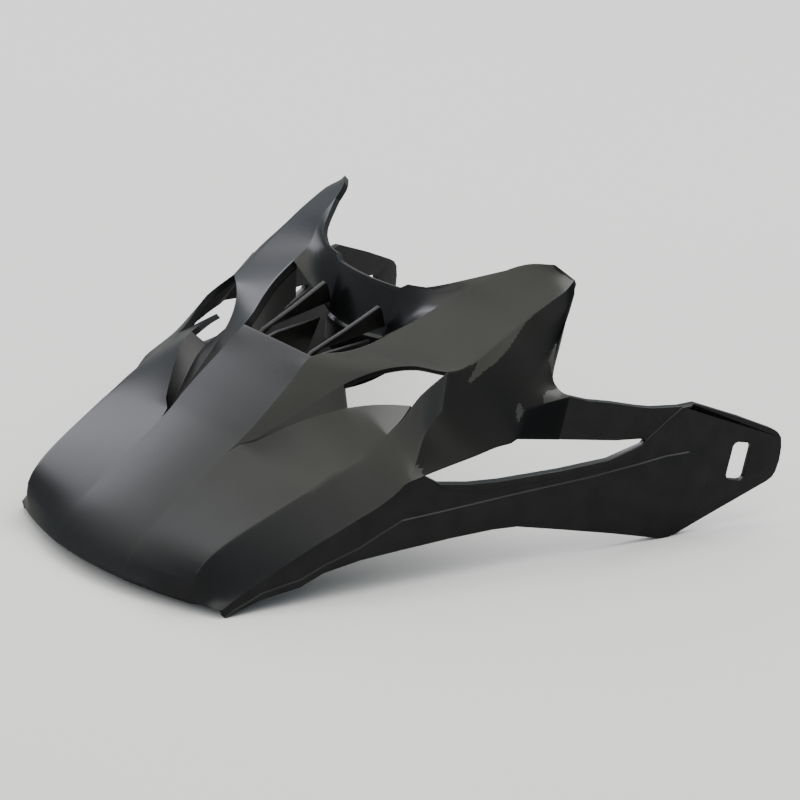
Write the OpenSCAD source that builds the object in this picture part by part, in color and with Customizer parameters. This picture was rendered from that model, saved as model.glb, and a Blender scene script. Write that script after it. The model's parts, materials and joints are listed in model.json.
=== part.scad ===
// Detachable peak (visor) for a full-face off-road cycling helmet.
// Frame: +X is the wearer's left, -Y is the front (the lip), +Z is up.
// The peak rests on the two corners of its lip and on the lower corners of its side arms.

/* [Overall] */
// Width over the tips of the two side arms
peak_w = 260; // [215:1:320]
// Length from the middle of the lip to the tips of the arms
peak_l = 260; // [215:1:320]
// Height from the floor to the top of the horns
peak_h = 110; // [90:1:135]

/* [Walls] */
// Wall of the moulded shells
shell_t = 3; // [2:0.1:4]
// Thickness of the side arms
arm_t = 3; // [2:0.1:5]
// Thickness of the upright fins beside the scoop
fin_t = 2.4; // [1.6:0.1:3.5]
// Thickness of the walls under the scoop
duct_t = 2; // [1.4:0.1:3]
// Height of the raised rim and the raised lower panel of an arm
arm_relief = 0.7; // [0.3:0.1:1.2]

/* [Mounting slots] */
// Length of the slot in each arm
slot_l = 16.4; // [10:0.2:20]
// Width of the slot
slot_w = 8.6; // [6:0.2:12]
// Corner radius of the slot
slot_r = 2.5; // [1:0.1:3]
// Lean of the slot's length from upright, towards the rear
slot_lean = 14; // [0:1:45]

/* [Fits] */
// Gap between the inner edge of a horn and the flange that hangs under it
flange_gap = 0.6; // [0.2:0.1:1]

/* [Hidden] */

gloss_black = [0.09, 0.09, 0.10];
satin_black = [0.15, 0.15, 0.16];
arc_steps = 48;
steps = 3;                        // rows between two stations of a feature line
cut = 1;                          // how far a cutter runs past what it cuts
band_cols = 4;                    // columns of points across each kind of sheet
panel_cols = 6;
facet_cols = 4;
horn_cols = 5;
gutter_cols = 3;

// Stations of the feature lines. Station 0 is the lip.
vent_at = 3;                      // start of the side vent's groove
hole_at = 6 + 2 / 3;              // where the groove opens into the see-through vent
corner_at = 7;                    // corner of the side edge
meet_at = 10;                     // meeting of the creases above the vent
wing_at = 11;                     // foot of the saddle bridge's wing
peak_at = 15;                     // top of the saddle bridge's wing
end_at = 17;                      // end of the horn

// The feature lines are drawn at these sizes and scaled to the overall ones.
drawn_w = 260.13;
drawn_l = 259.7;
drawn_h = 110.3;
lip_depth = 17.5;                 // how far the middle of the lip runs ahead of its corners
lip_rise = 3.5;                   // how far the middle of the lip rises above its corners
lip_half = 70;                    // half the width of the lip
splay = 0.248;                    // sideways run of an arm for each unit of length
tip_y = 242.2;                    // tip of an arm
slot_y = 223;                     // middle of the slot, along the length
slot_z = 28;                      // middle of the slot, above the floor
fit = [peak_w / drawn_w, peak_l / drawn_l, peak_h / drawn_h];
mid_y = (tip_y - lip_depth) / 2;  // middle of the length, from the corners of the lip
arm_run = norm([splay * fit[0], fit[1]]);

arm_yaw = atan(splay * fit[0] / fit[1]);
shift_y = mid_y * fit[1] + arm_t * sin(arm_yaw) / 2;
arm_out = [cos(arm_yaw), -sin(arm_yaw), 0];   // outward normal of an arm
up_front = [0, -0.6, 0.8];
up_wall = [0, -0.93, 0.35];
up_side = [0.25, -0.5, 0.8];
up_panel = [0.1, -0.58, 0.8];
up_cheek = [0.5, -0.5, 0.7];
up_edge = [0.8, -0.35, 0.45];
up_flank = [0.8, -0.45, 0.35];
up_strut = [0.4, -0.5, 0.75];

// A point of a feature line: its place on the outer surface, and where the inner surface is
function scaled(p) = [p[0] * fit[0], p[1] * fit[1], p[2] * fit[2]];
function skin(p, out) = let(q = scaled(p)) concat(q, q - shell_t * out / norm(out));
function skins(points, out) = [for (p = points) skin(p, out)];
function part_of(list, from, to) = [for (k = [from : to]) list[k]];
// The rows between two stations, from the rows of a whole line
function span(list, from, to) = part_of(list, from * steps, to * steps);
// A point in the upright plane of the arm, from its place along the length and its height
function on_arm(y, z) = [lip_half + splay * y, y, z];

// A smooth line through the points of a list, at station s
function line_at(line, s) =
    let(last = len(line) - 1, i = min(floor(s), last - 1), t = s - i,
        b = line[i], c = line[i + 1],
        a = i > 0 ? line[i - 1] : 2 * b - c,
        d = i + 2 <= last ? line[i + 2] : 2 * c - b,
        square_term = 2 * a - 5 * b + 4 * c - d,
        cube_term = 3 * b - a - 3 * c + d)
    t == 0 ? b : t == 1 ? c : 0.5 * (2 * b + (c - a) * t + square_term * t * t + cube_term * t * t * t);
function rows(line, from, to) = [for (k = [0 : round(steps * (to - from))]) line_at(line, from + k / steps)];

// The lip is an arc: this bows a row between two feature lines out to it, less at each row behind
function lip_bow(a, b, x, share) =
    let(k = (x - a[0]) * (b[0] - x) / pow(lip_half * fit[0], 2) * share,
        d = [0, -lip_depth * fit[1] * k, lip_rise * fit[2] * k])
    concat(d, d);
// Rows of points between two feature lines. With level = 2 the surface is level at the first line.
function sheet(ra, rb, across, level = 1, bowed = 0) =
    [for (k = [0 : len(ra) - 1]) [for (j = [0 : across])
        let(t = j / across, u = pow(t, level), p = ra[k], q = rb[k], x = p[0] + (q[0] - p[0]) * t)
        j == 0 ? p : j == across ? q :
        [for (i = [0 : 5]) p[i] + (q[i] - p[i]) * (i % 3 == 0 ? t : u)]
            + lip_bow(p, q, x, max(0, bowed - k / steps))]];

function outer(p) = [p[0], p[1], p[2]];
function inner(p) = [p[3], p[4], p[5]];
function two(a, b, c, d) = [[a, b, c], [a, c, d]];
function joined(lists) = [for (l = lists) for (e = l) e];
function kept(tris) = [for (t = tris) if (t[0] != t[1] && t[1] != t[2] && t[0] != t[2]) t];
// Both faces of a sheet, as triangles
function faces_of(g) = joined([for (i = [0 : len(g) - 2]) for (j = [0 : len(g[0]) - 2])
    let(a = g[i][j], b = g[i + 1][j], c = g[i + 1][j + 1], d = g[i][j + 1])
    concat(two(outer(a), outer(d), outer(c), outer(b)), two(inner(a), inner(b), inner(c), inner(d)))]);
// The wall along a free edge, given as a row of points
function rim(row) = joined([for (k = [0 : len(row) - 2])
    two(outer(row[k]), outer(row[k + 1]), inner(row[k + 1]), inner(row[k]))]);
function back_rim(row) = rim([for (k = [len(row) - 1 : -1 : 0]) row[k]]);
function column(g, j) = [for (row = g) row[j]];
function first_column(g) = column(g, 0);
function last_column(g) = column(g, len(g[0]) - 1);
function last_row(g) = g[len(g) - 1];
function mirrored(tris) = [for (t = tris) [for (k = [0, 2, 1]) [-t[k][0], t[k][1], t[k][2]]]];

module solid_of(tris) {
    t = kept(tris);
    translate([0, -shift_y, 0])
        polyhedron(points = joined(t), faces = [for (i = [0 : len(t) - 1]) [3 * i, 3 * i + 2, 3 * i + 1]]);
}

// Feature lines of the left half, one point at each station
centre_line = skins([[0, -17.5, 7], [0, -9, 16.5], [0, 6, 27.6], [0, 38.3, 47], [0, 49, 54.2],
    [0, 59, 61.4], [0, 70, 69.3], [0, 81, 77.7]], up_front);
ridge_line = skins([[23, -15.6, 6.6], [22.8, -8.5, 16], [22.5, 6, 26.8], [23, 38.5, 46.3], [24, 49, 53.5],
    [24, 59, 61], [23.5, 70, 69], [23, 81, 77.5], [30, 91.5, 78.8], [35.5, 100.2, 81.6],
    [39.5, 110, 86], [42.5, 121.4, 90.4], [44.5, 131, 94.6], [48.5, 137.5, 98.6], [52.5, 144.5, 103],
    [56.5, 154.5, 107.4], [62, 163, 110], [70, 169.8, 110.3]], up_panel);
groove_start = part_of(ridge_line, 0, vent_at);
brow_line = concat(groove_start,
    skins([[27.5, 49.3, 50.7], [31.5, 62, 57.3], [36.5, 75.5, 65], [42.5, 88, 71.8], [51, 97.6, 76.6],
    [61, 104.9, 79], [72, 112.4, 78], [75.5, 121.4, 80], [77, 132, 85.6], [77.8, 143, 91.4],
    [79, 151, 95.5], [79.6, 159, 99.2], [80, 167, 102.6], [78, 173.6, 105.2]], up_side));
groove_line = concat(groove_start,
    skins([[29, 47, 46.5], [36, 59, 53], [43.5, 71.5, 59.5], [50, 84, 62]], up_side));
sill_line = concat(groove_start,
    skins([[31, 46.7, 51.3], [41, 58, 59.2], [50.5, 69.6, 64.6], [55.5, 80, 66.2], [61, 89.8, 66.2],
    [66, 98.3, 65.1]], up_panel));
cheek_line = concat(skins([[56, -6.3, 4.76], [59, -3.9, 16.8], [61.6, 8, 26.8], [66.8, 36.8, 39.2],
    [68.7, 46.9, 43.1], [70.2, 57.4, 47.6], [71.3, 69.5, 52.2], [71.5, 81.7, 58.4], [72.2, 89, 63],
    [72.5, 98, 71.5]], up_cheek), [brow_line[meet_at]]);
// The side edge lies in the plane of the arm up to its corner; past it, it is a crease of the horn
edge_line = concat(
    [for (p = [[0, 3.5], [8, 8.2], [18, 13.5], [39.5, 24.2], [48, 27.9], [57.5, 32.2], [68, 37], [77, 43.6]])
        skin(on_arm(p[0], p[1]), arm_out)],
    skins([[86, 85, 49.5], [81, 93.5, 58.3], [78.6, 104.5, 65.4], [79.8, 114.1, 71.6],
        [80.8, 123.8, 77.5], [82, 134.5, 83.7], [83.3, 145.5, 88.2], [84.8, 155.6, 92.4],
        [84.3, 164.4, 96.4], [80.5, 171.5, 100.3]], up_edge));
// Lower edge of the horn's side: the top of the arm's opening, then a crease up to the horn's end
flank_line = concat(part_of(edge_line, 0, corner_at),
    [for (p = [[85.4, 46], [97, 48.6], [107, 50.7], [116, 53], [125, 55]]) skin(on_arm(p[0], p[1]), arm_out)],
    skins([[98, 130.6, 65.6], [94.2, 138.2, 73.9], [91, 149.1, 81.4], [88, 157.6, 87.6],
        [83.5, 166.6, 95.3]], up_flank));
// Free rear edge of the strut and of the horn
seam_low = skin(on_arm(143.2, 51.6), arm_out);
seam_high = skin(on_arm(147.6, 69.6), arm_out);
strut_edge = concat([seam_high],
    skins([[100.5, 146.6, 71.4], [95.8, 147.2, 76.6], [90.6, 155.2, 86.4]], up_strut),
    [flank_line[end_at]]);

// Rows shared by two pieces, so that their joint faces meet exactly
sill_end = meet_at - 1;
ridge_rows = rows(ridge_line, 0, end_at);
cheek_rows = rows(cheek_line, 0, meet_at);
edge_rows = rows(edge_line, 0, end_at);
brow_rows = rows(brow_line, 0, end_at);
sill_rows = rows(sill_line, vent_at, sill_end);
flank_rows = rows(flank_line, 0, end_at);
// Free rear edge of the side panel, just inside the rim
panel_tail = [cheek_line[corner_at], skin([69.3, 90.5, 61.5], up_panel), sill_line[sill_end]];

// ---- Centre band: the flat spine from the lip to the mouth of the scoop ----
module centre_band() {
    half = sheet(rows(centre_line, 0, corner_at), span(ridge_rows, 0, corner_at), band_cols, level = 2);
    left = concat(faces_of(half), back_rim(half[0]), rim(last_row(half)), back_rim(last_column(half)));
    color(gloss_black) solid_of(concat(left, mirrored(left)));
}

// ---- Cheek panel: the broad side panel and the facet down to the side edge ----
module cheek_panel() {
    tail_rows = rows(panel_tail, 0, 2);
    rear_rows = part_of(cheek_rows, vent_at * steps, corner_at * steps - 1);
    front = sheet(span(ridge_rows, 0, vent_at), span(cheek_rows, 0, vent_at), panel_cols, bowed = 1);
    panel = sheet(sill_rows, concat(rear_rows, tail_rows), panel_cols);
    facet = sheet(cheek_rows, span(edge_rows, 0, meet_at), facet_cols, bowed = 1);
    color(gloss_black) solid_of(concat(faces_of(front), faces_of(panel), faces_of(facet),
        back_rim(front[0]), back_rim(facet[0]), rim(last_row(facet)),
        rim(first_column(front)), rim(first_column(panel)),
        back_rim(tail_rows), rim(span(first_column(facet), corner_at, meet_at)),
        back_rim(last_column(facet))));
}
module cheek_panel_left() { cheek_panel(); }
module cheek_panel_right() { mirror([1, 0, 0]) cheek_panel(); }

// ---- Vent gutter: the recessed groove that runs back into the side vent ----
module vent_gutter() {
    bottom = rows(groove_line, vent_at, hole_at);
    top = sheet(rows(brow_line, vent_at, hole_at), bottom, gutter_cols);
    low = sheet(bottom, rows(sill_line, vent_at, hole_at), gutter_cols);
    color(satin_black) solid_of(concat(faces_of(top), faces_of(low), rim(last_row(top)), rim(last_row(low)),
        rim(first_column(top)), back_rim(last_column(low))));
}
module vent_gutter_left() { vent_gutter(); }
module vent_gutter_right() { mirror([1, 0, 0]) vent_gutter(); }

// ---- Horn: its top, its band, its side and the strut down to the arm ----
module horn() {
    arm_end = end_at - len(strut_edge);
    strut_rows = concat([seam_low], span(rows([seam_low, seam_high], 0, 1), 1 / steps, 1 - 1 / steps),
        rows(strut_edge, 0, len(strut_edge) - 1));
    top = sheet(span(ridge_rows, vent_at, end_at), span(brow_rows, vent_at, end_at), horn_cols);
    band = sheet(span(brow_rows, meet_at, end_at), span(edge_rows, meet_at, end_at), band_cols);
    flank = sheet(span(edge_rows, corner_at, end_at), span(flank_rows, corner_at, end_at), horn_cols);
    strut = sheet(span(flank_rows, arm_end, end_at), strut_rows, band_cols);
    color(gloss_black) solid_of(concat(faces_of(top), faces_of(band), faces_of(flank), faces_of(strut),
        rim(first_column(top)), back_rim(span(brow_rows, vent_at, meet_at)),
        rim(last_row(top)), rim(last_row(band)), rim(last_row(flank)),
        back_rim(band[0]), rim(span(edge_rows, corner_at, meet_at)),
        back_rim(span(flank_rows, corner_at, arm_end)),
        back_rim(strut[0]), back_rim(last_column(strut))));
}
module horn_left() { horn(); }
module horn_right() { mirror([1, 0, 0]) horn(); }

// ---- Saddle bridge: the wall behind the scoop and the wings up to the horns ----
saddle_foot = skins([[0, 115.3, 62], [17.5, 118, 62]], up_wall);
saddle_ledge = skins([[0, 116.6, 74], [17.8, 119.8, 74.2]], up_wall);
saddle_step = skins([[0, 118.4, 74.8], [18.2, 121.5, 75]], up_wall);
notch_mid = skins([[0, 126, 95.5], [20.5, 128.4, 95.3]], up_wall);
notch_line = concat([saddle_step[1], notch_mid[1]],
    skins([[33.5, 132, 98.6], [43, 138, 102]], [-0.1, -0.75, 0.6]), [ridge_line[peak_at]]);
module saddle_bridge() {
    wall = sheet([saddle_foot[0], saddle_ledge[0], saddle_step[0]],
        [saddle_foot[1], saddle_ledge[1], saddle_step[1]], band_cols, level = 2);
    back = sheet(rows([saddle_step[0], notch_mid[0]], 0, 1), rows(notch_line, 0, 1), band_cols, level = 2);
    wing_rows = rows(notch_line, 0, peak_at - wing_at);
    wing = sheet(wing_rows, span(ridge_rows, wing_at, peak_at), horn_cols);
    left = concat(faces_of(wall), faces_of(back), faces_of(wing), back_rim(wall[0]),
        back_rim(last_column(wall)), back_rim(wing[0]), back_rim(last_column(wing)),
        rim(last_row(back)), rim(span(wing_rows, 1, peak_at - wing_at)));
    color(gloss_black) solid_of(concat(left, mirrored(left)));
}

// ---- Upright plates of the scoop: outlines in length and height, scaled like the feature lines ----
function drawn(points) = [for (p = points) [p[0] * fit[1], p[1] * fit[2]]];
module upright(thick, x, lean, points) {
    translate([x * fit[0], -shift_y, 0])
        rotate([90, 0, 90 - lean])
            translate([0, 0, -thick / 2])
                linear_extrude(thick) polygon(drawn(points));
}

// ---- Scoop fin: the upright triangular plate on one side of the scoop's mouth ----
module scoop_fin() {
    fin_x = 12;
    fin_lean = 3;
    color(satin_black) upright(fin_t, fin_x, fin_lean, [[76, 66.4], [77, 69.2], [84.2, 75], [86, 76.4],
        [102.5, 82.2], [119.4, 89], [120.6, 86.5], [122, 79.6], [118.3, 79.3], [90.3, 76.6]]);
}
module scoop_fin_left() { scoop_fin(); }
module scoop_fin_right() { mirror([1, 0, 0]) scoop_fin(); }

// ---- Scoop flange: the wall that hangs under the horn's inner edge, beside the scoop ----
module scoop_flange() {
    flange_drop = [-1, -1.5, -13];
    hung = [0, 0, -flange_gap];
    head = [for (p = span(ridge_rows, corner_at, wing_at))
        let(q = inner(p) + hung) concat(q + [duct_t, 0, 0], q)];
    foot = [for (p = head) p + concat(flange_drop, flange_drop)];
    g = sheet(head, foot, gutter_cols);
    color(satin_black) solid_of(concat(faces_of(g), back_rim(g[0]), rim(last_row(g)),
        rim(first_column(g)), back_rim(last_column(g))));
}
module scoop_flange_left() { scoop_flange(); }
module scoop_flange_right() { mirror([1, 0, 0]) scoop_flange(); }

// ---- Duct wall: the lower side wall of the air duct under the band ----
module duct_wall() {
    wall_x = 12;
    wall_lean = 2.4;
    color(satin_black) upright(duct_t, wall_x, wall_lean, [[48, 45], [52, 49.6], [80, 71.2], [92.5, 73.8],
        [115.5, 74.6], [108.4, 61.5], [88, 58], [66, 50.5]]);
}
module duct_wall_left() { duct_wall(); }
module duct_wall_right() { mirror([1, 0, 0]) duct_wall(); }

// ---- Side arm: the flat, splayed side wall with the opening above it and the slot at its tip ----
function in_arm(points) = [for (p = points) [p[0] * arm_run, p[1] * fit[2]]];
// Turns a row of the side edge back into length and height in the plane of the arm
function from_skin(row) = [for (p = row) [p[1] / fit[1] * arm_run, p[2]]];
opening_sill = [[91.8, 41.6], [104.6, 39.3], [117.5, 38.3], [143.4, 38.1], [165, 39], [179.5, 43]];
arm_base = [[188.3, 0], [167, 6.1], [143.7, 12.2], [125, 16.9], [114.6, 17.5], [96.2, 17], [74.9, 15.7],
    [58, 14.5], [42.4, 11.8], [32.8, 7.5], [16.9, 5.3], [1.1, 0]];
arm_outline = concat(from_skin(span(edge_rows, 0, corner_at)),
    from_skin([flank_line[corner_at + 1]]),
    in_arm(opening_sill), in_arm([[181, 44.6], [179, 45.6], [168, 46.8], [143.2, 51.6], [147.6, 69.6],
    [156, 66.3], [166, 63.7], [178, 59.9], [184, 58.4], [195.5, 57], [202.6, 57.2],
    [222.4, 47.9], [237.4, 40], [240.4, 38], [242, 35.4], [242.2, 30.8], [241.4, 25.3], [239.8, 20.5],
    [238.2, 18.2], [235.8, 16.8], [221, 10.9], [205.6, 4.8], [195.5, 0.6], [192, 0]]), in_arm(arm_base));
arm_rim = in_arm(concat([[85.4, 46]], opening_sill, [[181, 44.6], [190, 51.5], [197, 56.6], [201.5, 56.8],
    [195, 51], [184.5, 42.6], [180, 40], [165, 36], [143.4, 35.1], [117.5, 35.3], [104.6, 36.3], [97, 38],
    [91.8, 40.4]]));
arm_low = in_arm(concat([[5, 2.6], [17, 8], [33, 10.8], [43, 15.2], [58, 20], [66, 24], [76, 28.6],
    [92, 29.4], [120.5, 31.2], [143.4, 32.3], [155.2, 32.9], [178.3, 34.9], [190.2, 36.3], [200.4, 36.3], [207, 33],
    [210, 26], [205, 12], [196, 3], [192, 0]], arm_base));
slot_at = [slot_y * arm_run, slot_z * fit[2]];

module slot_shape() {
    square([slot_w - 2 * slot_r, slot_l], center = true);
    square([slot_w, slot_l - 2 * slot_r], center = true);
    for (x = [-1, 1], y = [-1, 1])
        translate([x * (slot_w / 2 - slot_r), y * (slot_l / 2 - slot_r)]) circle(r = slot_r, $fn = arc_steps);
}
module side_arm() {
    color(gloss_black)
        translate([lip_half * fit[0], -shift_y, 0])
            rotate([90, 0, 90 - arm_yaw])
                difference() {
                    union() {
                        translate([0, 0, -arm_t]) linear_extrude(arm_t) polygon(arm_outline);
                        translate([0, 0, -arm_t / 2]) linear_extrude(arm_t / 2 + arm_relief) polygon(arm_rim);
                        translate([0, 0, -arm_t / 2]) linear_extrude(arm_t / 2 + arm_relief) polygon(arm_low);
                    }
                    translate([slot_at[0], slot_at[1], -arm_t - cut])
                        rotate([0, 0, -slot_lean])
                            linear_extrude(arm_t + arm_relief + 2 * cut) slot_shape();
                }
}
module side_arm_left() { side_arm(); }
module side_arm_right() { mirror([1, 0, 0]) side_arm(); }

centre_band();
cheek_panel_left();
cheek_panel_right();
vent_gutter_left();
vent_gutter_right();
horn_left();
horn_right();
saddle_bridge();
scoop_fin_left();
scoop_fin_right();
scoop_flange_left();
scoop_flange_right();
duct_wall_left();
duct_wall_right();
side_arm_left();
side_arm_right();
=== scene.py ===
"""Looks for the helmet peak: rounded mouldings, black plastic finishes and a pale studio."""

from __future__ import annotations

import json
import logging
import math
from dataclasses import dataclass, field
from enum import Enum
from typing import Iterable

import bpy
from mathutils import Matrix, Vector
from mathutils.bvhtree import BVHTree
from mathutils.kdtree import KDTree

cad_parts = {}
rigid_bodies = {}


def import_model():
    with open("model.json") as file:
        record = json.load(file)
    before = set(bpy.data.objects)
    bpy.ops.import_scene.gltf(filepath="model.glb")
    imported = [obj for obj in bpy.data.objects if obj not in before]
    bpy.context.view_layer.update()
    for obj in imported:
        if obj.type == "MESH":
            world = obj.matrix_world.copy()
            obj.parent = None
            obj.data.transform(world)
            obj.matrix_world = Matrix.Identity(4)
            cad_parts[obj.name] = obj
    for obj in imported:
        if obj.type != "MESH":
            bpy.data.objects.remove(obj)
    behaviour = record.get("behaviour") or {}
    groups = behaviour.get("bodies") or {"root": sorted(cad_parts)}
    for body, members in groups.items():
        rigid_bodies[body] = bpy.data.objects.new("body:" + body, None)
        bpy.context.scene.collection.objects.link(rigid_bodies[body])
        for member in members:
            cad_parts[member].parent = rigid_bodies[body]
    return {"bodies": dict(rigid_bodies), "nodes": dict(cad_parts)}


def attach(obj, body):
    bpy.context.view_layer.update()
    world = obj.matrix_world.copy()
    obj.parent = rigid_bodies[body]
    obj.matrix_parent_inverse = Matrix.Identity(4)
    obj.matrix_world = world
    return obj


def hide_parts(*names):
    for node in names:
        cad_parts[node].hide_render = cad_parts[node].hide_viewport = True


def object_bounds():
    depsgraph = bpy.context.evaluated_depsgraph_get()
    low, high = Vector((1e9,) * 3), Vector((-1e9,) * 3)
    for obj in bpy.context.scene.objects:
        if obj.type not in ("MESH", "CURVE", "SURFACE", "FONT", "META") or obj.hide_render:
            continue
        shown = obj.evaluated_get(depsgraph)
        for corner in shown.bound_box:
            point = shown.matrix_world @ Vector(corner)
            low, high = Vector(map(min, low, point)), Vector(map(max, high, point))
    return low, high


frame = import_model()
CAD_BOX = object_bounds()
log = logging.getLogger("peak")

MM = 0.001
MERGE_WITHIN = 0.02 * MM
BODY = sorted(frame["bodies"])[0]

Colour = tuple[float, float, float]
Band = tuple[float, float]


class Side(Enum):
    """The wearer's two sides."""

    LEFT = "left"
    RIGHT = "right"

    @property
    def sign(self) -> float:
        """Direction of this side along X."""
        return 1.0 if self is Side.LEFT else -1.0


class Slot(Enum):
    """The record's material slots."""

    GLOSS = "gloss_black"
    SATIN = "satin_black"


# ---------------------------------------------------------------- shader groups


def _group(name: str, inputs: Iterable[tuple[str, float]], outputs: Iterable[str]) -> bpy.types.NodeTree:
    """Starts a shader node group with number inputs.

    Args:
        name: The group's name.
        inputs: Name and default of each number input.
        outputs: Name of each number output.

    Returns:
        The new group, with its input and output nodes inside.
    """
    tree = bpy.data.node_groups.new(name, "ShaderNodeTree")
    for label, value in inputs:
        socket = tree.interface.new_socket(label, in_out="INPUT", socket_type="NodeSocketFloat")
        socket.default_value = value
    for label in outputs:
        tree.interface.new_socket(label, in_out="OUTPUT", socket_type="NodeSocketFloat")
    tree.nodes.new("NodeGroupInput")
    tree.nodes.new("NodeGroupOutput")
    return tree


def _math(tree: bpy.types.NodeTree, kind: str, a: object, b: object,
          clamp: bool = False) -> bpy.types.NodeSocket:
    """Adds a Math node.

    Args:
        tree: The tree it goes in.
        kind: The operation.
        a: First value, a socket or a number.
        b: Second value, a socket or a number.
        clamp: Whether the result is held between 0 and 1.

    Returns:
        The node's output.
    """
    node = tree.nodes.new("ShaderNodeMath")
    node.operation = kind
    node.use_clamp = clamp
    for index, value in enumerate((a, b)):
        if isinstance(value, (int, float)):
            node.inputs[index].default_value = value
        else:
            tree.links.new(value, node.inputs[index])
    return node.outputs[0]


def _noise(tree: bpy.types.NodeTree, vector: bpy.types.NodeSocket, scale: float, detail: float = 2.0,
           roughness: float = 0.5) -> bpy.types.NodeSocket:
    """Adds a Noise texture.

    Args:
        tree: The tree it goes in.
        vector: The coordinates.
        scale: Cycles per metre.
        detail: Octaves.
        roughness: Weight of the finer octaves.

    Returns:
        The noise value.
    """
    node = tree.nodes.new("ShaderNodeTexNoise")
    tree.links.new(vector, node.inputs["Vector"])
    node.inputs["Scale"].default_value = scale
    node.inputs["Detail"].default_value = detail
    node.inputs["Roughness"].default_value = roughness
    return node.outputs[0]


def _ramp(tree: bpy.types.NodeTree, value: bpy.types.NodeSocket, band: Band) -> bpy.types.NodeSocket:
    """Stretches a value so that the band's start becomes 0 and its end becomes 1.

    Args:
        tree: The tree it goes in.
        value: The value.
        band: What becomes 0, and what becomes 1.

    Returns:
        The stretched value.
    """
    node = tree.nodes.new("ShaderNodeMapRange")
    node.inputs["From Min"].default_value, node.inputs["From Max"].default_value = band
    tree.links.new(value, node.inputs["Value"])
    return node.outputs[0]


def _mix(tree: bpy.types.NodeTree, share: bpy.types.NodeSocket, first: object,
         second: object) -> bpy.types.NodeSocket:
    """Blends two colours.

    Args:
        tree: The tree it goes in.
        share: How much of the second colour shows.
        first: The first colour, a socket or three numbers.
        second: The second colour, a socket or three numbers.

    Returns:
        The blended colour.
    """
    node = tree.nodes.new("ShaderNodeMix")
    node.data_type = "RGBA"
    shares, blended = node.inputs[0], node.outputs[2]
    tree.links.new(share, shares)
    for socket, colour in zip((node.inputs[6], node.inputs[7]), (first, second)):
        if isinstance(colour, tuple):
            socket.default_value = (*colour, 1.0)
        else:
            tree.links.new(colour, socket)
    return blended


def _scaled(colour: Colour, share: float) -> Colour:
    """A colour made darker or lighter."""
    return (colour[0] * share, colour[1] * share, colour[2] * share)


def _place(tree: bpy.types.NodeTree, group: bpy.types.NodeTree, **values: float) -> bpy.types.Node:
    """Puts a shared group in a material with its own values.

    Args:
        tree: The material's tree.
        group: The shared group.
        **values: A number for each of the group's inputs.

    Returns:
        The group's node.
    """
    node = tree.nodes.new("ShaderNodeGroup")
    node.node_tree = group
    for label, value in values.items():
        node.inputs[label].default_value = value
    return node


def _io(tree: bpy.types.NodeTree) -> tuple[bpy.types.Node, bpy.types.Node]:
    """The input and output nodes of a group."""
    return (next(n for n in tree.nodes if n.bl_idname == "NodeGroupInput"),
            next(n for n in tree.nodes if n.bl_idname == "NodeGroupOutput"))


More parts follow.
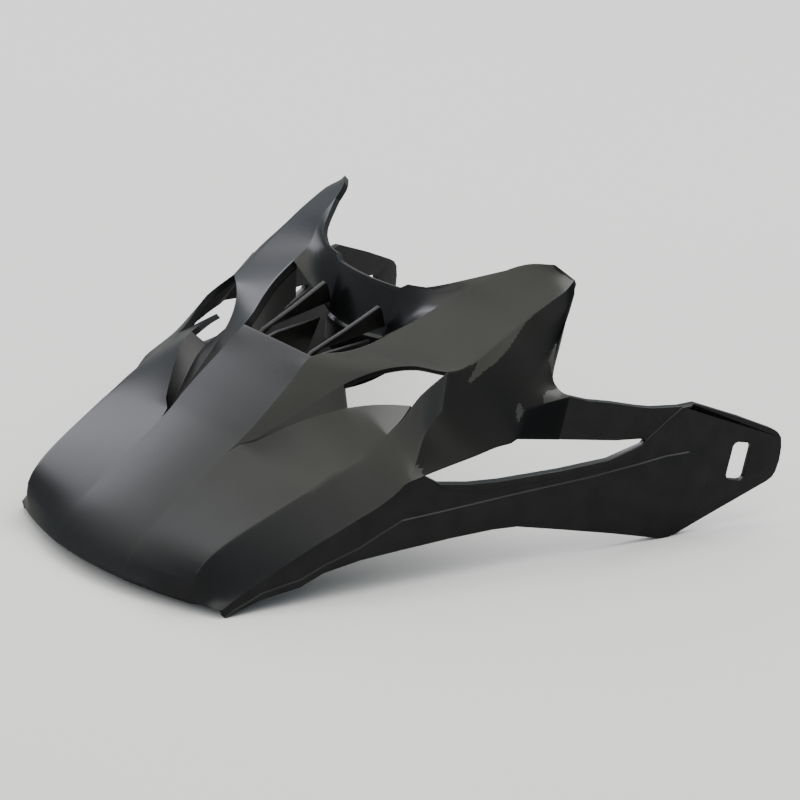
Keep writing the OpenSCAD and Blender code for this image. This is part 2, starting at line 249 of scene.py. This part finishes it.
@dataclass
class SurfaceEffects:
    """The shader groups that the plastics share. Scales are in cycles per metre."""

    peel_scale: float = 900.0
    pit_scale: float = 3400.0
    mark_tilt: Band = (0.2, 0.1)
    mark_turns: Band = (0.5, -0.7)
    mark_stretches: tuple[Colour, Colour] = ((7.0, 260.0, 7.0), (220.0, 6.0, 9.0))
    mark_scale: float = 3.0
    mark_band: Band = (0.66, 0.72)
    mark_patches: float = 14.0
    mark_patch_band: Band = (0.45, 0.7)
    film_upward: Band = (0.1, 1.0)
    film_scale: float = 22.0
    film_band: Band = (0.38, 0.75)
    speck_scale: float = 420.0
    speck_band: Band = (0.09, 0.04)
    speck_patches: float = 150.0
    speck_patch_band: Band = (0.68, 0.72)
    rub_scale: float = 120.0
    rub_band: Band = (0.3, 0.62)
    moulding: bpy.types.NodeTree = field(init=False)
    scratches: bpy.types.NodeTree = field(init=False)
    dust: bpy.types.NodeTree = field(init=False)
    rub: bpy.types.NodeTree = field(init=False)

    def __post_init__(self) -> None:
        """Builds each group once."""
        self.moulding = self._moulding()
        self.scratches = self._scratches()
        self.dust = self._dust()
        self.rub = self._rub()

    def _moulding(self) -> bpy.types.NodeTree:
        """Height of a moulded skin: fine peel and tiny pits.

        Returns:
            The group, with a Height output.
        """
        tree = _group("moulded_skin", [("Peel", 0.3), ("Pit", 0.2)], ["Height"])
        start, end = _io(tree)
        place = tree.nodes.new("ShaderNodeTexCoord").outputs["Object"]
        peel = _math(tree, "MULTIPLY", _noise(tree, place, self.peel_scale), start.outputs["Peel"])
        pits = _math(tree, "MULTIPLY", _noise(tree, place, self.pit_scale, 1.0), start.outputs["Pit"])
        tree.links.new(_math(tree, "ADD", peel, pits), end.inputs["Height"])
        return tree

    def _scratches(self) -> bpy.types.NodeTree:
        """Hair-fine handling marks, in two directions.

        Returns:
            The group, with a Mask output.
        """
        tree = _group("hairline_marks", [("Amount", 1.0)], ["Mask"])
        start, end = _io(tree)
        place = tree.nodes.new("ShaderNodeTexCoord").outputs["Object"]
        lines = []
        for turn, stretch in zip(self.mark_turns, self.mark_stretches):
            mapping = tree.nodes.new("ShaderNodeMapping")
            mapping.inputs["Rotation"].default_value = (*self.mark_tilt, turn)
            mapping.inputs["Scale"].default_value = stretch
            tree.links.new(place, mapping.inputs["Vector"])
            grain = _noise(tree, mapping.outputs[0], self.mark_scale, 3.0, 0.6)
            lines.append(_ramp(tree, grain, self.mark_band))
        both = _math(tree, "MAXIMUM", lines[0], lines[1])
        patchy = _ramp(tree, _noise(tree, place, self.mark_patches), self.mark_patch_band)
        mask = _math(tree, "MULTIPLY", _math(tree, "MULTIPLY", both, patchy), start.outputs["Amount"], True)
        tree.links.new(mask, end.inputs["Mask"])
        return tree

    def _dust(self) -> bpy.types.NodeTree:
        """A thin film of dust that lies on what faces up, with a few specks.

        Returns:
            The group, with Film and Speck outputs.
        """
        tree = _group("settled_dust", [("Amount", 1.0)], ["Film", "Speck"])
        start, end = _io(tree)
        place = tree.nodes.new("ShaderNodeTexCoord").outputs["Object"]
        face = tree.nodes.new("ShaderNodeSeparateXYZ")
        tree.links.new(tree.nodes.new("ShaderNodeNewGeometry").outputs["Normal"], face.inputs[0])
        upward = _ramp(tree, face.outputs["Z"], self.film_upward)
        cloud = _ramp(tree, _noise(tree, place, self.film_scale, 4.0, 0.6), self.film_band)
        film = _math(tree, "MULTIPLY", _math(tree, "MULTIPLY", upward, cloud), start.outputs["Amount"], True)
        tree.links.new(film, end.inputs["Film"])
        cells = tree.nodes.new("ShaderNodeTexVoronoi")
        cells.inputs["Scale"].default_value = self.speck_scale
        tree.links.new(place, cells.inputs["Vector"])
        near = _ramp(tree, cells.outputs["Distance"], self.speck_band)
        rare = _ramp(tree, _noise(tree, place, self.speck_patches, 1.0), self.speck_patch_band)
        speck = _math(tree, "MULTIPLY", _math(tree, "MULTIPLY", near, rare), start.outputs["Amount"], True)
        tree.links.new(speck, end.inputs["Speck"])
        return tree

    def _rub(self) -> bpy.types.NodeTree:
        """Polished, slightly paler edges, broken up so that they aren't even.

        Returns:
            The group, with a Mask output.
        """
        tree = _group("rubbed_edges", [("Amount", 1.0)], ["Mask"])
        start, end = _io(tree)
        edge = tree.nodes.new("ShaderNodeAttribute")
        edge.attribute_name = "edge"
        place = tree.nodes.new("ShaderNodeTexCoord").outputs["Object"]
        broken = _ramp(tree, _noise(tree, place, self.rub_scale, 3.0), self.rub_band)
        mask = _math(tree, "MULTIPLY", _math(tree, "MULTIPLY", edge.outputs["Fac"], broken),
                     start.outputs["Amount"], True)
        tree.links.new(mask, end.inputs["Mask"])
        return tree


# ---------------------------------------------------------------- finishes


@dataclass(frozen=True)
class Plastic:
    """A black moulded plastic."""

    name: str
    base: Colour
    rubbed: Colour
    gloss_low: float
    gloss_high: float
    specular: float
    peel: float
    pit: float
    bump: float
    marks: float
    dust: float
    rub: float
    mottle_scale: float = 26.0
    mottle: float = 0.18
    dust_tone: Colour = (0.36, 0.35, 0.33)
    film_veil: float = 0.05
    speck_veil: float = 0.55
    mark_dulling: float = 0.16
    film_dulling: float = 0.12
    mark_depth: float = 0.04

    def material(self, effects: SurfaceEffects) -> bpy.types.Material:
        """Builds the node material, or finds it if it is already built.

        Args:
            effects: The shared shader groups.

        Returns:
            The material.
        """
        found = bpy.data.materials.get(self.name)
        if found:
            return found
        made = bpy.data.materials.new(self.name)
        made.use_nodes = True
        tree = made.node_tree
        shader = tree.nodes["Principled BSDF"]
        shader.inputs["Specular IOR Level"].default_value = self.specular
        marks = _place(tree, effects.scratches, Amount=self.marks).outputs["Mask"]
        dust = _place(tree, effects.dust, Amount=self.dust)
        coords = tree.nodes.new("ShaderNodeTexCoord").outputs["Object"]
        mottle = _noise(tree, coords, self.mottle_scale, 4.0, 0.6)
        tree.links.new(self._colour(tree, effects, mottle, dust), shader.inputs["Base Color"])
        tree.links.new(self._dullness(tree, mottle, marks, dust), shader.inputs["Roughness"])
        tree.links.new(self._relief(tree, effects, marks), shader.inputs["Normal"])
        return made

    def _colour(self, tree: bpy.types.NodeTree, effects: SurfaceEffects, mottle: bpy.types.NodeSocket,
                dust: bpy.types.Node) -> bpy.types.NodeSocket:
        """Mottled black, paler where it is rubbed or dusty.

        Args:
            tree: The material's tree.
            effects: The shared shader groups.
            mottle: A slow noise over the surface.
            dust: The dust group's node.

        Returns:
            The colour.
        """
        tone = _mix(tree, mottle, _scaled(self.base, 1.0 - self.mottle),
                    _scaled(self.base, 1.0 + self.mottle))
        rub = _place(tree, effects.rub, Amount=self.rub).outputs["Mask"]
        worn = _mix(tree, rub, tone, self.rubbed)
        veil = _math(tree, "MAXIMUM", _math(tree, "MULTIPLY", dust.outputs["Film"], self.film_veil),
                     _math(tree, "MULTIPLY", dust.outputs["Speck"], self.speck_veil))
        return _mix(tree, veil, worn, self.dust_tone)

    def _dullness(self, tree: bpy.types.NodeTree, mottle: bpy.types.NodeSocket, marks: bpy.types.NodeSocket,
                  dust: bpy.types.Node) -> bpy.types.NodeSocket:
        """Roughness that drifts over the surface and rises in marks and dust.

        Args:
            tree: The material's tree.
            mottle: A slow noise over the surface.
            marks: Where the handling marks are.
            dust: The dust group's node.

        Returns:
            The roughness.
        """
        even = tree.nodes.new("ShaderNodeMapRange")
        even.inputs["To Min"].default_value = self.gloss_low
        even.inputs["To Max"].default_value = self.gloss_high
        tree.links.new(mottle, even.inputs["Value"])
        dull = _math(tree, "ADD", _math(tree, "MULTIPLY", marks, self.mark_dulling),
                     _math(tree, "MULTIPLY", dust.outputs["Film"], self.film_dulling))
        return _math(tree, "ADD", even.outputs[0], dull, True)

    def _relief(self, tree: bpy.types.NodeTree, effects: SurfaceEffects,
                marks: bpy.types.NodeSocket) -> bpy.types.NodeSocket:
        """Bump of the moulded skin, with the handling marks cut into it.

        Args:
            tree: The material's tree.
            effects: The shared shader groups.
            marks: Where the handling marks are.

        Returns:
            The normal.
        """
        skin = _place(tree, effects.moulding, Peel=self.peel, Pit=self.pit)
        cuts = _math(tree, "MULTIPLY", marks, self.mark_depth)
        height = _math(tree, "SUBTRACT", skin.outputs["Height"], cuts)
        bump = tree.nodes.new("ShaderNodeBump")
        bump.inputs["Strength"].default_value = 1.0
        bump.inputs["Distance"].default_value = self.bump
        tree.links.new(height, bump.inputs["Height"])
        return bump.outputs[0]


GLOSS = Plastic("gloss_black_shell", base=(0.0042, 0.0044, 0.0048), rubbed=(0.014, 0.0145, 0.015),
                gloss_low=0.25, gloss_high=0.30, specular=0.5,
                peel=0.10, pit=0.03, bump=0.00008, marks=0.25, dust=0.3, rub=0.4)
# Painted shade: a darker, less reflective copy of the gloss shell for the outward side faces of the horns,
# where the shell should look dark.
PAINTED_SHADE_SIDE_FACE = Plastic("gloss_black_painted_shade_face", base=(0.0030, 0.0033, 0.0038), rubbed=(0.012, 0.0125, 0.013),
                    gloss_low=0.26, gloss_high=0.31, specular=0.17,
                    peel=0.10, pit=0.03, bump=0.00008, marks=0.25, dust=0.15, rub=0.4)
ARM = Plastic("gloss_black_arm", base=(0.0042, 0.0044, 0.0044), rubbed=(0.013, 0.0135, 0.0135),
              gloss_low=0.26, gloss_high=0.31, specular=0.5,
              peel=0.12, pit=0.04, bump=0.00008, marks=0.4, dust=0.4, rub=0.5)
UNDERSIDE = Plastic("grained_underside", base=(0.006, 0.006, 0.0063), rubbed=(0.014, 0.014, 0.0142),
                    gloss_low=0.46, gloss_high=0.56, specular=0.2,
                    peel=0.5, pit=0.35, bump=0.00014, marks=0.3, dust=0.4, rub=0.2)
RECESS = Plastic("satin_black_recess", base=(0.0035, 0.0034, 0.0034), rubbed=(0.010, 0.010, 0.0098),
                 gloss_low=0.36, gloss_high=0.44, specular=0.35,
                 peel=0.3, pit=0.15, bump=0.0001, marks=0.3, dust=0.4, rub=0.4)
INNER_WALL = Plastic("satin_brown_black_wall", base=(0.0048, 0.0045, 0.0042), rubbed=(0.016, 0.0155, 0.0145),
                     gloss_low=0.32, gloss_high=0.40, specular=0.26,
                     peel=0.3, pit=0.12, bump=0.0001, marks=0.3, dust=0.5, rub=0.5)


# ---------------------------------------------------------------- mesh work


def _only(piece: bpy.types.Object) -> None:
    """Deselects everything and makes one piece selected and active."""
    bpy.ops.object.select_all(action="DESELECT")
    piece.select_set(True)
    bpy.context.view_layer.objects.active = piece


def _copy_of(node: str, name: str) -> bpy.types.Object:
    """Copies a CAD node's mesh into a new object and merges its doubled points.

    Args:
        node: The CAD node.
        name: The new piece's name.

    Returns:
        The new piece, at the origin.
    """
    mesh = frame["nodes"][node].data.copy()
    mesh.materials.clear()
    piece = bpy.data.objects.new(name, mesh)
    bpy.context.scene.collection.objects.link(piece)
    for layer in list(mesh.uv_layers):
        mesh.uv_layers.remove(layer)
    if mesh.has_custom_normals:
        _only(piece)
        bpy.ops.mesh.customdata_custom_splitnormals_clear()
    _only(piece)
    bpy.ops.object.mode_set(mode="EDIT")
    bpy.ops.mesh.select_all(action="SELECT")
    bpy.ops.mesh.remove_doubles(threshold=MERGE_WITHIN)
    bpy.ops.object.mode_set(mode="OBJECT")
    return piece


def _modify(piece: bpy.types.Object, kind: str, **settings: object) -> None:
    """Adds a modifier with these settings and applies it.

    Args:
        piece: The piece.
        kind: The modifier's type.
        **settings: Its properties.
    """
    _only(piece)
    modifier = piece.modifiers.new(kind.lower(), kind)
    for label, value in settings.items():
        setattr(modifier, label, value)
    bpy.ops.object.modifier_apply(modifier=modifier.name)


def _bend_of(edge_faces: list[Vector]) -> float:
    """Angle between the two faces of an edge, in degrees."""
    if len(edge_faces) != 2:
        return 180.0
    return math.degrees(edge_faces[0].angle(edge_faces[1], 0.0))


def _bends(mesh: bpy.types.Mesh) -> list[float]:
    """Angle across each edge of a mesh, in degrees, in edge order."""
    around: dict[tuple[int, int], list[Vector]] = {}
    for face in mesh.polygons:
        for key in face.edge_keys:
            around.setdefault(key, []).append(face.normal)
    return [_bend_of(around.get(tuple(sorted(e.vertices)), [])) for e in mesh.edges]


def _neighbours(node: str) -> BVHTree:
    """A search tree over every CAD node but one, for finding where that node is joined to the others."""
    points: list[Vector] = []
    faces: list[tuple[int, ...]] = []
    for name, other in frame["nodes"].items():
        if name == node:
            continue
        start = len(points)
        points.extend(v.co.copy() for v in other.data.vertices)
        faces.extend(tuple(i + start for i in p.vertices) for p in other.data.polygons)
    return BVHTree.FromPolygons(points, faces)


def _mark_free_edges(piece: bpy.types.Object, node: str, sharp: float, joined: float) -> None:
    """Gives a bevel weight to the sharp edges that aren't joined to another moulding.

    Args:
        piece: The piece.
        node: The CAD node it stands for.
        sharp: Smallest angle of a sharp edge, in degrees.
        joined: How near another node an edge must be to count as joined, in metres.
    """
    mesh = piece.data
    others = _neighbours(node)
    weights = mesh.attributes.get("bevel_weight_edge")
    weights = weights or mesh.attributes.new("bevel_weight_edge", "FLOAT", "EDGE")
    for edge, bend in zip(mesh.edges, _bends(mesh)):
        if bend < sharp:
            continue
        near = [others.find_nearest(mesh.vertices[i].co, joined)[0] for i in edge.vertices]
        if None in near:
            weights.data[edge.index].value = 1.0


def _paint_edges(piece: bpy.types.Object, reach: float, sharp: float) -> None:
    """Stores how near each point is to a crease, for the rubbed edges of the finish.

    Args:
        piece: The piece.
        reach: Distance over which it fades, in metres.
        sharp: Smallest angle of a crease, in degrees.
    """
    mesh = piece.data
    on_edge = {i for e, b in zip(mesh.edges, _bends(mesh)) if b > sharp for i in e.vertices}
    values = [0.0] * len(mesh.vertices)
    if on_edge:
        tree = KDTree(len(on_edge))
        for i in on_edge:
            tree.insert(mesh.vertices[i].co, i)
        tree.balance()
        values = [math.exp(-tree.find(v.co)[2] / reach) for v in mesh.vertices]
    mesh.attributes.new("edge", "FLOAT", "POINT").data.foreach_set("value", values)


def _finish_off(piece: bpy.types.Object, node: str, smooth: float) -> bpy.types.Object:
    """Smooths a piece and hands it to the frame.

    Args:
        piece: The piece.
        node: The CAD node it stands for.
        smooth: Largest angle that is shaded smooth, in degrees.

    Returns:
        The piece.
    """
    _only(piece)
    bpy.ops.object.shade_smooth_by_angle(angle=math.radians(smooth))
    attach(piece, BODY)
    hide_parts(node)
    log.info("%s stands for %s: %d faces", piece.name, node, len(piece.data.polygons))
    return piece


@dataclass
class Moulding:
    """A thin curved moulding made from a CAD node's surface. Angles are in degrees."""

    node: str
    name: str
    outer: Plastic
    inner: Plastic
    facing: Vector
    # Painted shade: the darker side-face finish, and where it goes (how far out from the middle, and how far
    # the face turns outward).
    painted_shade_face: Plastic | None = None
    painted_shade_from: float = 62.0 * MM
    painted_shade_turn: float = 0.55
    slot: Slot = Slot.GLOSS
    crease: float = 14.0
    soft_crease: float = 0.85
    sharp: float = 38.0
    quad_bend: float = 60.0
    quad_skew: float = 70.0
    under_turn: float = -0.3
    joined_within: float = 0.3 * MM
    rub_from: float = 18.0
    rub_reach: float = 0.9 * MM
    smooth_to: float = 30.0
    levels: int = 2
    round_edge: float = 0.45 * MM

    def build(self, effects: SurfaceEffects) -> bpy.types.Object:
        """Builds the piece.

        Args:
            effects: The shared shader groups.

        Returns:
            The finished piece.
        """
        piece = _copy_of(self.node, self.name)
        self._refine(piece)
        _mark_free_edges(piece, self.node, self.sharp, self.joined_within)
        _modify(piece, "BEVEL", width=self.round_edge, segments=2, limit_method="WEIGHT", profile=0.6,
                use_clamp_overlap=True)
        _paint_edges(piece, self.rub_reach, self.rub_from)
        self._dress(piece, effects)
        return _finish_off(piece, self.node, self.smooth_to)

    def _refine(self, piece: bpy.types.Object) -> None:
        """Turns the triangles into quads and subdivides them, keeping the creases."""
        _only(piece)
        bpy.ops.object.mode_set(mode="EDIT")
        bpy.ops.mesh.select_all(action="SELECT")
        bpy.ops.mesh.tris_convert_to_quads(face_threshold=math.radians(self.quad_bend),
                                           shape_threshold=math.radians(self.quad_skew))
        bpy.ops.object.mode_set(mode="OBJECT")
        mesh = piece.data
        creases = mesh.attributes.new("crease_edge", "FLOAT", "EDGE")
        for edge, bend in zip(mesh.edges, _bends(mesh)):
            creases.data[edge.index].value = self._crease_of(bend)
        _modify(piece, "SUBSURF", levels=self.levels, render_levels=self.levels,
                boundary_smooth="PRESERVE_CORNERS")

    def _crease_of(self, bend: float) -> float:
        """How strongly an edge keeps its crease: fully when sharp, and by its bend when it is soft."""
        if bend > self.sharp:
            return 1.0
        return min(max(bend / self.crease - 0.5, 0.0), self.soft_crease)

    def _dress(self, piece: bpy.types.Object, effects: SurfaceEffects) -> None:
        """Gives the outer side and the underside their finishes, and paints shade on outward side faces with
        a darker, less reflective copy of the gloss.

        Args:
            piece: The piece.
            effects: The shared shader groups.
        """
        mesh = piece.data
        for finish in filter(None, (self.outer, self.inner, self.painted_shade_face)):
            mesh.materials.append(finish.material(effects))
        outward = 1.0 if self.facing.x > 0.0 else -1.0
        for face in mesh.polygons:
            # Painted shade: side faces far from the middle that turn outward take the darker copy of the
            # gloss.
            in_painted_shade = face.center.x * outward > self.painted_shade_from and face.normal.x * outward > self.painted_shade_turn
            if face.normal.dot(self.facing) < self.under_turn:
                face.material_index = 1
            elif self.painted_shade_face and in_painted_shade:
                face.material_index = 2


@dataclass
class Plate:
    """A flat moulded plate made from a CAD node, with rounded edges. Angles are in degrees."""

    node: str
    name: str
    finish: Plastic
    slot: Slot
    round_edge: float
    segments: int = 3
    flat_within: float = 0.5
    sharp: float = 20.0
    joined_within: float = 0.05 * MM
    rub_from: float = 18.0
    rub_reach: float = 1.2 * MM
    smooth_to: float = 32.0

    def build(self, effects: SurfaceEffects) -> bpy.types.Object:
        """Builds the piece.

        Args:
            effects: The shared shader groups.

        Returns:
            The finished piece.
        """
        piece = _copy_of(self.node, self.name)
        _only(piece)
        bpy.ops.object.mode_set(mode="EDIT")
        bpy.ops.mesh.select_all(action="SELECT")
        bpy.ops.mesh.dissolve_limited(angle_limit=math.radians(self.flat_within))
        bpy.ops.object.mode_set(mode="OBJECT")
        _mark_free_edges(piece, self.node, self.sharp, self.joined_within)
        _modify(piece, "BEVEL", width=self.round_edge, segments=self.segments, limit_method="WEIGHT",
                use_clamp_overlap=True, miter_outer="MITER_ARC")
        _paint_edges(piece, self.rub_reach, self.rub_from)
        piece.data.materials.append(self.finish.material(effects))
        return _finish_off(piece, self.node, self.smooth_to)


# ---------------------------------------------------------------- sub-assemblies


@dataclass
class Spine:
    """The centre band, from the lip to the mouth of the scoop."""

    facing: Vector = field(default_factory=lambda: Vector((0.0, -0.6, 0.8)))

    def build(self, effects: SurfaceEffects) -> list[bpy.types.Object]:
        """Builds the band.

        Args:
            effects: The shared shader groups.

        Returns:
            The finished band, alone in a list.
        """
        return [Moulding("centre_band", "centre_band_shell", GLOSS, UNDERSIDE, self.facing).build(effects)]


@dataclass
class Flank:
    """One side of the peak: cheek panel, vent gutter, horn and arm."""

    side: Side

    def _facing(self, across: float) -> Vector:
        """Outward direction of a moulding on this side.

        Args:
            across: How far it leans to the side, against 0.5 forward and 0.7 up.

        Returns:
            The direction, of unit length.
        """
        return Vector((across * self.side.sign, -0.5, 0.7)).normalized()

    def build(self, effects: SurfaceEffects) -> list[bpy.types.Object]:
        """Builds the side's pieces.

        Args:
            effects: The shared shader groups.

        Returns:
            The finished pieces.
        """
        s = self.side.value
        return [
            Moulding(f"cheek_panel_{s}", f"cheek_panel_{s}_shell", GLOSS, UNDERSIDE,
                     self._facing(0.45)).build(effects),
            Moulding(f"vent_gutter_{s}", f"vent_gutter_{s}_shell", RECESS, UNDERSIDE, self._facing(0.1),
                     slot=Slot.SATIN).build(effects),
            Moulding(f"horn_{s}", f"horn_{s}_shell", GLOSS, UNDERSIDE, self._facing(0.6),
                     painted_shade_face=PAINTED_SHADE_SIDE_FACE).build(effects),
            Plate(f"side_arm_{s}", f"side_arm_{s}_plate", ARM, Slot.GLOSS, 0.5 * MM).build(effects),
        ]


@dataclass
class Scoop:
    """The air scoop: the saddle wall, and the fins, flanges and duct walls on both sides."""

    wall_facing: Vector = field(default_factory=lambda: Vector((0.0, -0.9, 0.4)))

    def build(self, effects: SurfaceEffects) -> list[bpy.types.Object]:
        """Builds the scoop's pieces.

        Args:
            effects: The shared shader groups.

        Returns:
            The finished pieces.
        """
        bridge = Moulding("saddle_bridge", "saddle_bridge_shell", GLOSS, UNDERSIDE, self.wall_facing)
        pieces = [bridge.build(effects)]
        for side in Side:
            s = side.value
            pieces.append(Plate(f"scoop_fin_{s}", f"scoop_fin_{s}_plate", INNER_WALL, Slot.SATIN,
                                0.4 * MM).build(effects))
            pieces.append(Plate(f"duct_wall_{s}", f"duct_wall_{s}_plate", INNER_WALL, Slot.SATIN,
                                0.35 * MM).build(effects))
            pieces.append(Moulding(f"scoop_flange_{s}", f"scoop_flange_{s}_wall", INNER_WALL, INNER_WALL,
                                   Vector((-side.sign, 0.0, 0.0)), slot=Slot.SATIN).build(effects))
        return pieces


# ---------------------------------------------------------------- studio


def _direction(azimuth: float, elevation: float) -> Vector:
    """Direction seen from the peak, of unit length.

    Args:
        azimuth: Degrees from the front lip, counted towards +X.
        elevation: Degrees above the floor.

    Returns:
        The direction.
    """
    az, el = math.radians(azimuth), math.radians(elevation)
    return Vector((math.sin(az) * math.cos(el), -math.cos(az) * math.cos(el), math.sin(el)))


@dataclass(frozen=True)
class Softbox:
    """An area light, placed by direction from the peak. Lengths are in metres, power in watts."""

    name: str
    azimuth: float
    elevation: float
    distance: float
    size: tuple[float, float]
    power: float
    tint: Colour


@dataclass
class Studio:
    """Pale floor, soft lights and the camera.

    Camera reach and offset are in lengths of the peak. Glossy reflections see a floor painted darker: a
    painted dark reflection in the plastic.
    """

    azimuth: float = 51.815
    elevation: float = 21.934
    lens: float = 225.0
    sensor: float = 36.0
    reach: float = 7.94
    offset: tuple[float, float, float] = (0.072, 0.066, -0.04)
    floor_size: float = 14.0
    floor_tone: Colour = (0.88, 0.885, 0.875)
    floor_drift: float = 0.01
    floor_drift_scale: float = 6.0
    # Painted reflection: share of the floor tone that glossy rays see.
    floor_in_reflections_painted_dark: float = 0.26
    dome_low: float = 0.34
    dome_high: float = 1.25
    dome_rise: Band = (0.45, 0.80)
    dome_tints: tuple[Colour, Colour] = ((0.88, 0.96, 1.06), (1.0, 1.0, 0.90))
    tint_rise: Band = (0.45, 0.85)
    boxes: tuple[Softbox, ...] = (
        Softbox("overhead", -44.0, 68.0, 1.6, (1.0, 1.0), 1.9, (1.0, 0.99, 0.96)),
        Softbox("window", -100.0, 30.0, 1.6, (1.25, 0.55), 7.4, (0.92, 0.92, 1.0)),
        Softbox("front", 5.0, 30.0, 1.6, (1.4, 0.8), 4.2, (1.0, 1.0, 0.97)),
        Softbox("back", 160.0, 62.0, 1.6, (1.2, 1.2), 17.0, (1.0, 1.0, 1.0)),
    )

    def build(self) -> None:
        """Builds the floor, the lights, the world and the camera."""
        low, high = Vector(CAD_BOX[0]), Vector(CAD_BOX[1])
        middle = (low + high) / 2
        length = high.y - low.y
        self._floor(low.z)
        self._world()
        for box in self.boxes:
            self._softbox(box, middle)
        self._camera(middle, length)

    def _floor(self, height: float) -> None:
        """Lays the seamless pale floor, painted darker where glossy rays see it.

        Args:
            height: Where the floor lies, in metres.
        """
        bpy.ops.object.select_all(action="DESELECT")
        bpy.ops.mesh.primitive_plane_add(size=1.0, location=(0.0, 0.0, 0.0))
        floor = bpy.context.object
        floor.name = "studio_floor"
        floor.data.transform(Matrix.Translation((0.0, 0.0, height)) @ Matrix.Scale(self.floor_size, 4))
        made = bpy.data.materials.new("seamless_paper")
        made.use_nodes = True
        tree = made.node_tree
        shader = tree.nodes["Principled BSDF"]
        shader.inputs["Roughness"].default_value = 0.9
        shader.inputs["Specular IOR Level"].default_value = 0.2
        coords = tree.nodes.new("ShaderNodeTexCoord").outputs["Object"]
        drift = _noise(tree, coords, self.floor_drift_scale)
        paper = _mix(tree, drift, _scaled(self.floor_tone, 1.0 - self.floor_drift),
                     _scaled(self.floor_tone, 1.0 + self.floor_drift))
        # Painted reflection: glossy rays see the paper painted far darker than it is, so the plastic
        # reflects a dark floor.
        glossy = tree.nodes.new("ShaderNodeLightPath").outputs["Is Glossy Ray"]
        painted_dark_reflection = _mix(tree, glossy, paper, _scaled(self.floor_tone, self.floor_in_reflections_painted_dark))
        tree.links.new(painted_dark_reflection, shader.inputs["Base Color"])
        floor.data.materials.append(made)

    def _world(self) -> None:
        """Sets the surrounding light: a pale dome that fades towards a dim horizon."""
        world = bpy.data.worlds.new("studio_air")
        world.use_nodes = True
        tree = world.node_tree
        way = tree.nodes.new("ShaderNodeSeparateXYZ")
        tree.links.new(tree.nodes.new("ShaderNodeTexCoord").outputs["Generated"], way.inputs[0])
        rise = tree.nodes.new("ShaderNodeMapRange")
        rise.interpolation_type = "SMOOTHSTEP"
        rise.inputs["From Min"].default_value, rise.inputs["From Max"].default_value = self.dome_rise
        rise.inputs["To Min"].default_value = self.dome_low
        rise.inputs["To Max"].default_value = self.dome_high
        tree.links.new(way.outputs["Z"], rise.inputs["Value"])
        tint = _mix(tree, _ramp(tree, way.outputs["Z"], self.tint_rise), *self.dome_tints)
        background = tree.nodes["Background"]
        tree.links.new(tint, background.inputs["Color"])
        tree.links.new(rise.outputs[0], background.inputs["Strength"])
        bpy.context.scene.world = world

    def _softbox(self, box: Softbox, middle: Vector) -> None:
        """Hangs one area light, aimed at the peak.

        Args:
            box: The light.
            middle: The middle of the peak.
        """
        towards = _direction(box.azimuth, box.elevation)
        lamp = bpy.data.lights.new(box.name, "AREA")
        lamp.shape = "RECTANGLE"
        lamp.size, lamp.size_y = box.size
        lamp.energy = box.power
        lamp.color = box.tint
        holder = bpy.data.objects.new(box.name, lamp)
        bpy.context.scene.collection.objects.link(holder)
        holder.matrix_world = (Matrix.Translation(middle + towards * box.distance)
                               @ towards.to_track_quat("Z", "Y").to_matrix().to_4x4())

    def _camera(self, middle: Vector, length: float) -> None:
        """Sets the camera at the object's three-quarter view.

        Args:
            middle: The middle of the peak.
            length: The peak's length, in metres.
        """
        back = _direction(self.azimuth, self.elevation)
        right = _direction(self.azimuth + 90.0, 0.0)
        up = back.cross(right)
        aim = middle + Vector(self.offset) * length
        lens = bpy.data.cameras.new("camera")
        lens.lens = self.lens
        lens.sensor_width = self.sensor
        lens.clip_start = 0.05
        holder = bpy.data.objects.new("camera", lens)
        bpy.context.scene.collection.objects.link(holder)
        turn = Matrix((right, up, back)).transposed().to_4x4()
        holder.matrix_world = Matrix.Translation(aim + back * (self.reach * length)) @ turn
        bpy.context.scene.camera = holder


def main() -> None:
    """Builds every piece and the studio."""
    logging.basicConfig(level=logging.INFO, format="%(name)s: %(message)s")
    Studio().build()
    effects = SurfaceEffects()
    pieces: list[bpy.types.Object] = []
    for part in (Spine(), Flank(Side.LEFT), Flank(Side.RIGHT), Scoop()):
        pieces.extend(part.build(effects))
    log.info("%d pieces built", len(pieces))


if __name__ == "__main__":
    main()
